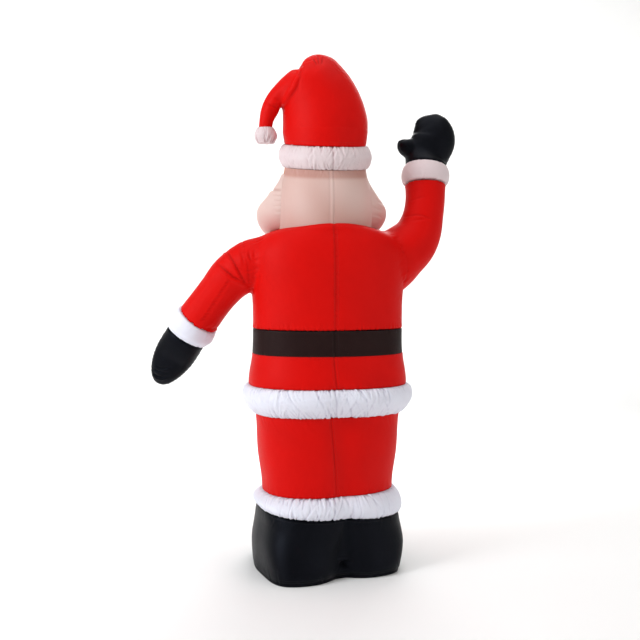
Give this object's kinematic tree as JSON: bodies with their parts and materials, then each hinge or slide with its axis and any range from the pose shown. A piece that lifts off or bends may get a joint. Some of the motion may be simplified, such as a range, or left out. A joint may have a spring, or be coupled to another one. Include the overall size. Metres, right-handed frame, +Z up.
{
  "type": "inflatable christmas decoration",
  "caption": "Tall sewn inflatable Father Christmas standing on its boots, with one arm raised to wave and a bent hat with a pompom",
  "frame": {"origin": "centre of the figure on the floor, in the plane its boots stand on", "axes": "+Z up through the body; the figure faces -Y, so its back is at +Y; its hanging left arm is at +X and its raised right arm at -X"},
  "size_m": [1.4627, 0.748, 2.385],
  "materials": {
    "red_cloth": "red coated polyester taffeta with a soft sheen",
    "white_cloth": "white coated polyester taffeta, slightly see-through",
    "hair_cloth": "off-white coated polyester taffeta, slightly see-through",
    "black_cloth": "black coated polyester taffeta with a soft sheen",
    "belt_cloth": "brownish black coated polyester taffeta",
    "skin_cloth": "skin-toned coated polyester taffeta",
    "gold_cloth": "golden yellow coated polyester taffeta"
  },
  "bodies": {
    "root": {"boots": "black_cloth", "lead_outlet": "black_cloth", "trouser_cuff": "white_cloth", "trousers": "red_cloth", "coat_hem": "white_cloth", "coat_skirt": "red_cloth", "belt": "belt_cloth", "belt_buckle": "gold_cloth", "coat_body": "red_cloth", "front_trim_lower": "white_cloth", "front_trim_upper": "white_cloth", "sleeve_left": "red_cloth", "cuff_left": "white_cloth", "mitten_left": "black_cloth", "sleeve_right": "red_cloth", "cuff_right": "white_cloth", "mitten_right": "black_cloth", "head_back": "hair_cloth", "face": "skin_cloth", "beard": "hair_cloth", "moustache": "white_cloth", "nose": "skin_cloth", "hat_band": "white_cloth", "hat": "red_cloth", "pompom": "white_cloth"}
  },
  "joints": []
}
